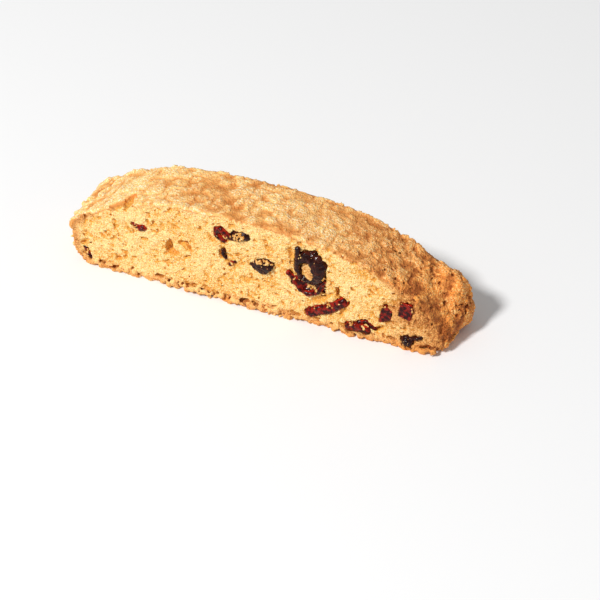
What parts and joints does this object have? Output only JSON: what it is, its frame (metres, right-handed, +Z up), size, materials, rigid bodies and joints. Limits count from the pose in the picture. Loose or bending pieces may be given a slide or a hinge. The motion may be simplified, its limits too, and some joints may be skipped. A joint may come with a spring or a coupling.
{
  "type": "biscotti slice",
  "caption": "Long half-moon slice of twice-baked biscuit: flat base, arched crust, crumbly cut faces set with dried cranberries and blueberries.",
  "frame": {"origin": "middle of the bounding box at the bottom, on the plane that the flat base rests on", "axes": "+X along the slice towards its rounded end, +Y through the thickness away from the shown cut face, +Z up"},
  "size_m": [0.1518, 0.028, 0.0386],
  "materials": {
    "biscuit": "dry baked crumb, pale yellow where cut and golden brown on the crust",
    "cranberry": "dark red dried fruit, soft uneven gloss",
    "blueberry": "blue-black dried fruit, soft uneven gloss"
  },
  "bodies": {
    "root": {"slice": "biscuit", "cranberry_nib": "cranberry", "cranberry_top": "cranberry", "cranberry_open": "cranberry", "cranberry_long": "cranberry", "cranberry_edge": "cranberry", "cranberry_cube_left": "cranberry", "cranberry_cube_right": "cranberry", "cranberry_back_left": "cranberry", "cranberry_back_low": "cranberry", "cranberry_back_cube": "cranberry", "cranberry_back_right": "cranberry", "blueberry_crumbed": "blueberry", "blueberry_middle": "blueberry", "blueberry_big": "blueberry", "blueberry_low": "blueberry", "blueberry_back_left": "blueberry", "blueberry_back_right": "blueberry"}
  },
  "joints": []
}
